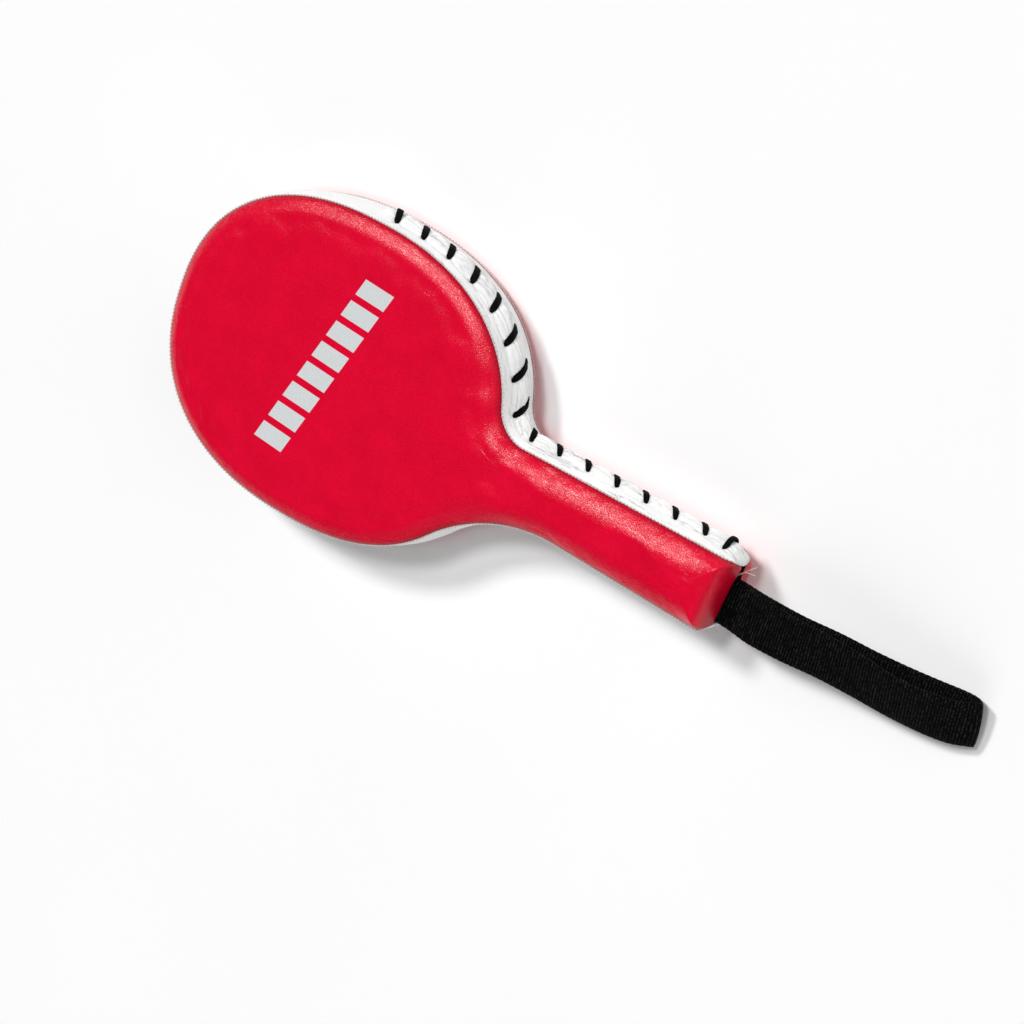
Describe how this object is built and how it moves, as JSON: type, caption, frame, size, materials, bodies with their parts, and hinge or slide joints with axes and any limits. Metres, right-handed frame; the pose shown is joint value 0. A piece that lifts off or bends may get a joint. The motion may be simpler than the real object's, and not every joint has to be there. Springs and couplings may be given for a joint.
{
  "type": "boxing paddle thai pad",
  "caption": "Flat padded strike paddle with a round head, a straight padded handle, a laced side band and a webbing wrist loop.",
  "frame": {"origin": "on the rear strike face, under the middle of the head; the part lies on that face", "axes": "+X to the tip of the head, away from the handle; +Y to the plain edge, with the laced edge at -Y; +Z out of the front strike face"},
  "size_m": [0.5891, 0.209, 0.0492],
  "materials": {
    "red_leather": "semi-gloss red leather with a fine pebble grain",
    "white_leather": "semi-matt white leather with soft creases",
    "lace": "black flat braided lace",
    "webbing": "black ribbed webbing",
    "thread": "off-white sewing thread",
    "firm_foam": "dense closed-cell foam",
    "soft_foam": "soft open-cell foam",
    "board": "plywood",
    "liner": "plain grey lining cloth"
  },
  "bodies": {
    "paddle": {"core_board": "board", "front_firm_foam": "firm_foam", "rear_firm_foam": "firm_foam", "front_soft_foam": "soft_foam", "rear_soft_foam": "soft_foam", "front_grip_foam": "firm_foam", "rear_grip_foam": "firm_foam", "front_cover": "red_leather", "rear_cover": "red_leather", "side_band": "white_leather", "lace_placket": "liner", "lace": "lace", "front_seam_thread": "thread", "rear_seam_thread": "thread", "front_strap_tail": "webbing", "rear_strap_tail": "webbing"},
    "strap": {"wrist_strap": "webbing"}
  },
  "joints": [
    {"name": "strap_swing", "type": "hinge", "parent": "paddle", "child": "strap", "pos_m": [-0.3023, 0.0026, 0.0246], "axis": [0, 1, 0], "range_deg": [-90, 90]}
  ]
}
